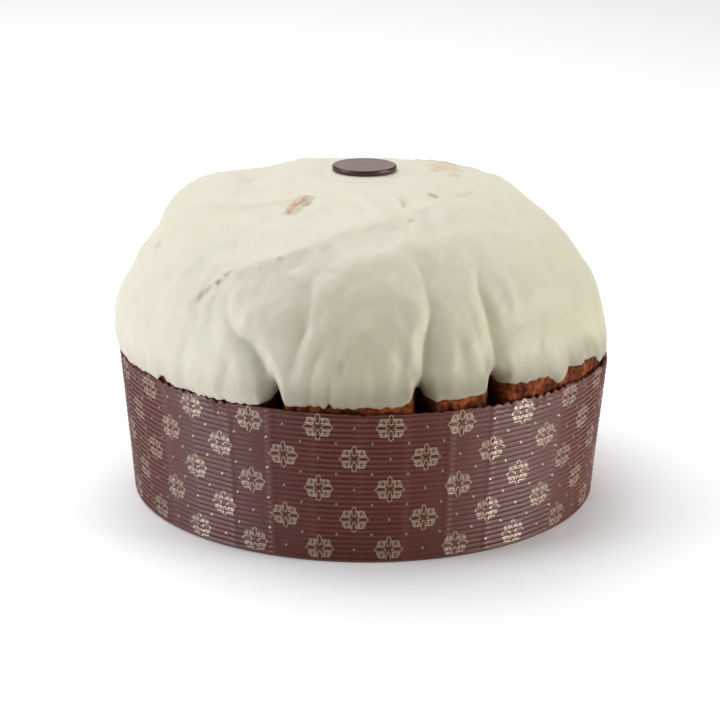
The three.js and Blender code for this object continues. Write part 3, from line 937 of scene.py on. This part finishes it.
def crack_relief(azimuth, climb):
    """The cracks' sunken side and the low brow along each."""
    out = np.zeros(climb.shape)
    for places, sinks in CRACKS:
        away, right, deep = beside_path(places, azimuth, climb)
        past_end = np.sqrt(np.maximum(away**2 - right**2, 0))
        sunk = smooth_rise(right, -0.2, CRACK["edge"]) * bell(np.maximum(right, 0) / sinks)
        brow = CRACK["brow"] * bell(right / CRACK["brow_wide"])
        out = out + deep * (brow - sunk) * bell(past_end)
    return out


def marked(marks, azimuth, climb):
    """How strongly each place is marked: 0 clear, 1 fully."""
    total = np.zeros(climb.shape)
    for at, up, wide, tall, strong in marks:
        far = np.hypot(turn(azimuth, at) / wide, (climb - up) / tall)
        total = np.maximum(total, strong * (1 - smooth_rise(far, 0.4, 1.6)))
    return total


def bed_relief(points):
    """A low bed of icing, level with the underside of the disc that is pressed into it."""
    across = points[..., 0] - DISC_AT[0]
    back = points[..., 1] - DISC_AT[1]
    tilt = math.radians(DISC_TILT)
    underside_z = CROWN_Z + GAP + DISC_RADIUS * math.sin(tilt) - back * math.tan(tilt)
    share = 1 - smooth_rise(np.hypot(across, back), BED["from"], BED["to"])
    return np.maximum(underside_z - BED["below"] - points[..., 2], 0) * share


top_climb = DOME_LENGTH - OUTER_TOP
lip_share = np.linspace(0, 1, LIP_ROWS)[:, None]
lip_climb = edge + LIP_REACH * (1 - np.cos(lip_share * math.pi / 2))
# The edge is drawn in where it hangs free, and hardly where it rests on the rim
on_rim = 1 - smooth_rise(edge - (rim_height(columns) - DOME_START), *NEAR_RIM)
drawn_in = ICING * (1 - RIM_REST * on_rim)
lip_sunk = drawn_in * (1 - np.sin(lip_share * math.pi / 2))
face_share = np.linspace(0, 1, FACE_ROWS)[1:, None]
face_climb = edge + LIP_REACH + (top_climb - edge - LIP_REACH) * face_share
outer_climb = np.concatenate([lip_climb, face_climb])
outer_sunk = np.concatenate([np.broadcast_to(lip_sunk, lip_climb.shape), 0 * face_climb])
bead = EDGE_BEAD["high"] * bell((outer_climb - edge - EDGE_BEAD["at"]) / EDGE_BEAD["wide"])
plain_points = on_dome(columns, outer_climb, 0)
fine = fine_relief(columns, outer_climb, plain_points) + bead
fine = fine * (1 - outer_sunk / ICING) + crack_relief(columns, outer_climb)
flakes = FLAKE["high"] * (FLAKE["base"] + lumps(plain_points, FLAKE["size"], FLAKE["seed"]))
fine = fine + flakes * marked(BARED, columns, outer_climb)
outer = on_dome(columns, outer_climb, fine - outer_sunk)
outer[..., 2] += bed_relief(outer)
inner_share = np.linspace(0, 1, INNER_ROWS)[::-1, None]
inner_span = DOME_LENGTH - INNER_TOP - edge - INNER_FOOT
inner_climb = edge + INNER_FOOT + inner_span * inner_share
inner = on_dome(columns, inner_climb, -ICING)
icing_rings = np.concatenate([inner, outer])

ring_shape = icing_rings.shape[:2]
marks = {}
for label, places in (("bared", BARED), ("shaded", SHADED)):
    marks[label] = np.zeros(ring_shape)
    marks[label][INNER_ROWS:] = marked(places, columns, outer_climb)
# Painted shade: the icing's colour is greyed near its lower edge, where the lip curves under,
# and turned olive low on the front.
swing = turn(columns, 0)
front = smooth_rise(swing, *PAINTED_SHADE_SPAN[:2]) * (1 - smooth_rise(swing, *PAINTED_SHADE_SPAN[2:]))
edge_painted_shade = PAINTED_EDGE_SHADE["share"] * (1 - smooth_rise(outer_climb - edge, 0, PAINTED_EDGE_SHADE["to"]))
edge_painted_shade = edge_painted_shade * (PAINTED_EDGE_SHADE["aside"] + (1 - PAINTED_EDGE_SHADE["aside"]) * front)
# Painted shade, olive, low on the front
low = 1 - smooth_rise(outer_climb, PAINTED_LOW_SHADE["from"], PAINTED_LOW_SHADE["to"])
low = low * smooth_rise(swing, *PAINTED_LOW_SHADE_SPAN)
for label, share in (("edge_painted_shade", edge_painted_shade), ("low", PAINTED_LOW_SHADE["share"] * low * front)):
    marks[label] = np.zeros(ring_shape)
    marks[label][INNER_ROWS:] = share
icing = ring_mesh("icing_look", icing_rings, marks)

# White chocolate, set: ivory, satin, and a little translucent, so shaded hollows look warm.
# Painted shade greys it at its edge and turns it olive low on the front.
WHITE_CHOCOLATE = "#e0dac9"
WHITE_CHOCOLATE_WARM = "#dbd4bc"
# Painted shade colours: grey at the edge, olive low on the front
WHITE_CHOCOLATE_EDGE_SHADE = "#9b917d"
WHITE_CHOCOLATE_LOW_SHADE = "#a39c6a"
BARED_CRUST = "#dca88b"
BARED_CRUST_DARK = "#bd9568"
# Painted shade colour for the hollows beside the crags
PAINTED_SHADE_GREY_GREEN = "#a3a083"
IVORY_CLOUD = 28
ICING_GRAIN = 2.4
GRAIN_HEIGHT = 0.12
CRUMB = 1.8

white_chocolate, tree, shader = new_material("white_chocolate_set_satin")
place = add(tree, "ShaderNodeTexCoord").node.outputs["Object"]
cloud = add(
    tree, "ShaderNodeTexNoise", {"Vector": place, "Scale": 1 / (IVORY_CLOUD * MM), "Detail": 3}
)
base = add(
    tree,
    "ShaderNodeMix",
    {"Factor": cloud, 6: linear(WHITE_CHOCOLATE_WARM), 7: linear(WHITE_CHOCOLATE)},
    data_type="RGBA",
).node.outputs[2]
# Painted shade: the low and edge shares mix in olive and grey
for label, colour in (("low", WHITE_CHOCOLATE_LOW_SHADE), ("edge_painted_shade", WHITE_CHOCOLATE_EDGE_SHADE)):
    share = add(tree, "ShaderNodeAttribute", attribute_name=label).node.outputs["Fac"]
    base = add(
        tree, "ShaderNodeMix", {"Factor": share, 6: base, 7: linear(colour)}, data_type="RGBA"
    ).node.outputs[2]
grain = add(
    tree, "ShaderNodeTexNoise", {"Vector": place, "Scale": 1 / (ICING_GRAIN * MM), "Detail": 4}
)
crumb = add(
    tree, "ShaderNodeTexNoise", {"Vector": place, "Scale": 1 / (CRUMB * MM), "Detail": 3}
)
crumb_colour = add(
    tree,
    "ShaderNodeMix",
    {"Factor": crumb, 6: linear(BARED_CRUST_DARK), 7: linear(BARED_CRUST)},
    data_type="RGBA",
).node.outputs[2]
# Painted shade: grey-green in the hollows beside the crags
shade = add(tree, "ShaderNodeAttribute", attribute_name="shaded").node.outputs["Fac"]
base = add(
    tree, "ShaderNodeMix", {"Factor": shade, 6: base, 7: linear(PAINTED_SHADE_GREY_GREEN)}, data_type="RGBA"
).node.outputs[2]
bared = add(tree, "ShaderNodeAttribute", attribute_name="bared").node.outputs["Fac"]
broken = add(
    tree,
    "ShaderNodeMapRange",
    {"Value": crumb, "From Min": 0.36, "From Max": 0.56, "To Min": 0.45},
)
bared = add(tree, "ShaderNodeMath", {0: bared, 1: broken}, operation="MULTIPLY")
base = add(
    tree, "ShaderNodeMix", {"Factor": bared, 6: base, 7: crumb_colour}, data_type="RGBA"
).node.outputs[2]
tree.links.new(base, shader.inputs["Base Color"])
shader.inputs["Roughness"].default_value = 0.5
shader.inputs["IOR"].default_value = 1.46
shader.inputs["Subsurface Weight"].default_value = 0.25
shader.inputs["Subsurface Radius"].default_value = (1, 0.75, 0.4)
shader.inputs["Subsurface Scale"].default_value = 2.5 * MM
relief = add(
    tree, "ShaderNodeBump", {"Height": grain, "Distance": GRAIN_HEIGHT * MM, "Strength": 0.5}
)
tree.links.new(relief, shader.inputs["Normal"])
stand_for(icing, "icing", white_chocolate)


# Chocolate disc
# A coin of dark chocolate, moulded flat with softened edges, pressed into the icing at the very
# top before it set. Its top has a faint raised border and is otherwise plain.
DISC_HEIGHT = 2.4
DISC_ROUND = 0.8
DISC_COLUMNS = 180
FACE_STEP = 0.3
BORDER = {"at": 12.1, "wide": 0.5, "high": 0.12, "fade": 0.8}

disc_azimuths = np.arange(DISC_COLUMNS) * 360 / DISC_COLUMNS
corner = np.radians(np.arange(0, 91, 15))
side = DISC_RADIUS - DISC_ROUND
disc_profile = [(5, 0), (10, 0), (side - 2 * FACE_STEP, 0)]
for a in corner:
    disc_profile.append((side + DISC_ROUND * math.sin(a), DISC_ROUND * (1 - math.cos(a))))
high = DISC_HEIGHT - DISC_ROUND
for a in corner:
    disc_profile.append((side + DISC_ROUND * math.cos(a), high + DISC_ROUND * math.sin(a)))
for r in np.arange(side - FACE_STEP, 0.5, -FACE_STEP):
    dip = BORDER["high"] * (1 - bell((r - BORDER["at"]) / BORDER["wide"]))
    fade = float(smooth_rise(side - r, 0, BORDER["fade"]))
    disc_profile.append((r, DISC_HEIGHT - dip * fade))
disc_rings = np.stack([around(disc_azimuths, r, z) for r, z in disc_profile])
tilt = Matrix.Rotation(math.radians(-DISC_TILT), 3, "X")
lift = CROWN_Z + GAP + DISC_RADIUS * math.sin(math.radians(DISC_TILT))
disc_rings = disc_rings @ np.array(tilt).T + (*DISC_AT, lift)
disc = ring_mesh("chocolate_disc_look", disc_rings)

# Dark chocolate: deep brown and glossy from the mould, with a faint grey bloom on top that is
# partly painted sheen, lightening the faces that point up.
DARK_CHOCOLATE = "#472018"
BLOOM_AND_PAINTED_SHEEN = "#8c6a5e"
BLOOM_CLOUD = 6
BLOOM_AND_SHEEN_MOST = 0.85
BLOOM_HEIGHT = 0.1

dark_chocolate, tree, shader = new_material("dark_chocolate_moulded")
place = add(tree, "ShaderNodeTexCoord").node.outputs["Object"]
cloud = add(
    tree, "ShaderNodeTexNoise", {"Vector": place, "Scale": 1 / (BLOOM_CLOUD * MM), "Detail": 5}
)
facing = add(tree, "ShaderNodeNewGeometry").node.outputs["Normal"]
facing_up = add(tree, "ShaderNodeSeparateXYZ", {0: facing}).node.outputs["Z"]
# Bloom and painted sheen: faces that point up are lightened in colour
bloom_and_sheen = add(
    tree,
    "ShaderNodeMapRange",
    {"Value": facing_up, "From Min": 0.8, "From Max": 0.98, "To Max": BLOOM_AND_SHEEN_MOST},
)
bloom_and_sheen = add(tree, "ShaderNodeMath", {0: bloom_and_sheen, 1: cloud}, operation="MULTIPLY")
chocolate_colour = add(
    tree,
    "ShaderNodeMix",
    {"Factor": bloom_and_sheen, 6: linear(DARK_CHOCOLATE), 7: linear(BLOOM_AND_PAINTED_SHEEN)},
    data_type="RGBA",
).node.outputs[2]
tree.links.new(chocolate_colour, shader.inputs["Base Color"])
shader.inputs["Roughness"].default_value = 0.34
shader.inputs["IOR"].default_value = 1.5
relief = add(
    tree, "ShaderNodeBump", {"Height": cloud, "Distance": BLOOM_HEIGHT * MM, "Strength": 0.3}
)
tree.links.new(relief, shader.inputs["Normal"])
stand_for(disc, "chocolate_disc", dark_chocolate)


# Studio
# A plain white floor, a large soft light above and a little behind the loaf, a weaker one on
# each side, one far back, and a faint warm fill from all round.
FLOOR_SIZE = 6.0
FLOOR_WHITE = "#fafafa"
FLOOR_GLOW = 0.1
FILL = "#ffedb8"
FILL_STRENGTH = 0.04
floor_mesh = bpy.data.meshes.new("studio_floor")
half = FLOOR_SIZE / 2
floor_mesh.from_pydata(
    [(-half, -half, 0), (half, -half, 0), (half, half, 0), (-half, half, 0)], [], [(0, 1, 2, 3)]
)
floor = bpy.data.objects.new("studio_floor", floor_mesh)
bpy.context.scene.collection.objects.link(floor)
white_sweep, tree, shader = new_material("white_sweep_matt")
shader.inputs["Base Color"].default_value = linear(FLOOR_WHITE)
shader.inputs["Roughness"].default_value = 0.9
shader.inputs["Emission Color"].default_value = linear("#ffffff")
shader.inputs["Emission Strength"].default_value = FLOOR_GLOW
floor_mesh.materials.append(white_sweep)

LOAF_MIDDLE = Vector((0, 0, 0.07))


def soft_light(name, position, wide, watts, colour="#ffffff"):
    """A square soft light that faces the loaf."""
    data = bpy.data.lights.new(name, "AREA")
    data.size = wide
    data.energy = watts
    data.color = linear(colour)[:3]
    lamp = bpy.data.objects.new(name, data)
    lamp.location = position
    lamp.rotation_euler = (LOAF_MIDDLE - Vector(position)).to_track_quat("-Z", "Y").to_euler()
    bpy.context.scene.collection.objects.link(lamp)


soft_light("overhead", (-0.33, 0.52, 1.62), 1.7, 30.5, "#fafbff")
soft_light("side_left", (-1.27, -0.38, 0.45), 0.7, 11, "#f1f5ff")
soft_light("side_right", (1.27, -0.38, 0.4), 0.7, 12.5)
soft_light("backdrop", (0, 2.2, 0.75), 1.6, 6)

world = bpy.data.worlds.new("studio_fill")
world.use_nodes = True
background = world.node_tree.nodes["Background"]
background.inputs["Color"].default_value = linear(FILL)
background.inputs["Strength"].default_value = FILL_STRENGTH
bpy.context.scene.world = world
bpy.context.scene.view_settings.view_transform = "Standard"

# The camera stands 1.08 m in front and looks down a little, with a long lens
CAMERA_AT = (0, -1.082785, 0.401996)
CAMERA_RIGHT = (0.99996599, 0.00396648, 0.0072313)
CAMERA_UP = (-0.00809706, 0.30530753, 0.95221938)
CAMERA_AHEAD = (-0.00156919, 0.95224555, -0.30532926)
CAMERA_SENSOR = 36
CAMERA_LENS = 129.4
camera_data = bpy.data.cameras.new("camera")
camera_data.sensor_width = CAMERA_SENSOR
camera_data.lens = CAMERA_LENS
camera = bpy.data.objects.new("camera", camera_data)
bpy.context.scene.collection.objects.link(camera)
turned = Matrix((CAMERA_RIGHT, CAMERA_UP, -Vector(CAMERA_AHEAD))).transposed()
camera.matrix_world = Matrix.Translation(CAMERA_AT) @ turned.to_4x4()
bpy.context.scene.camera = camera
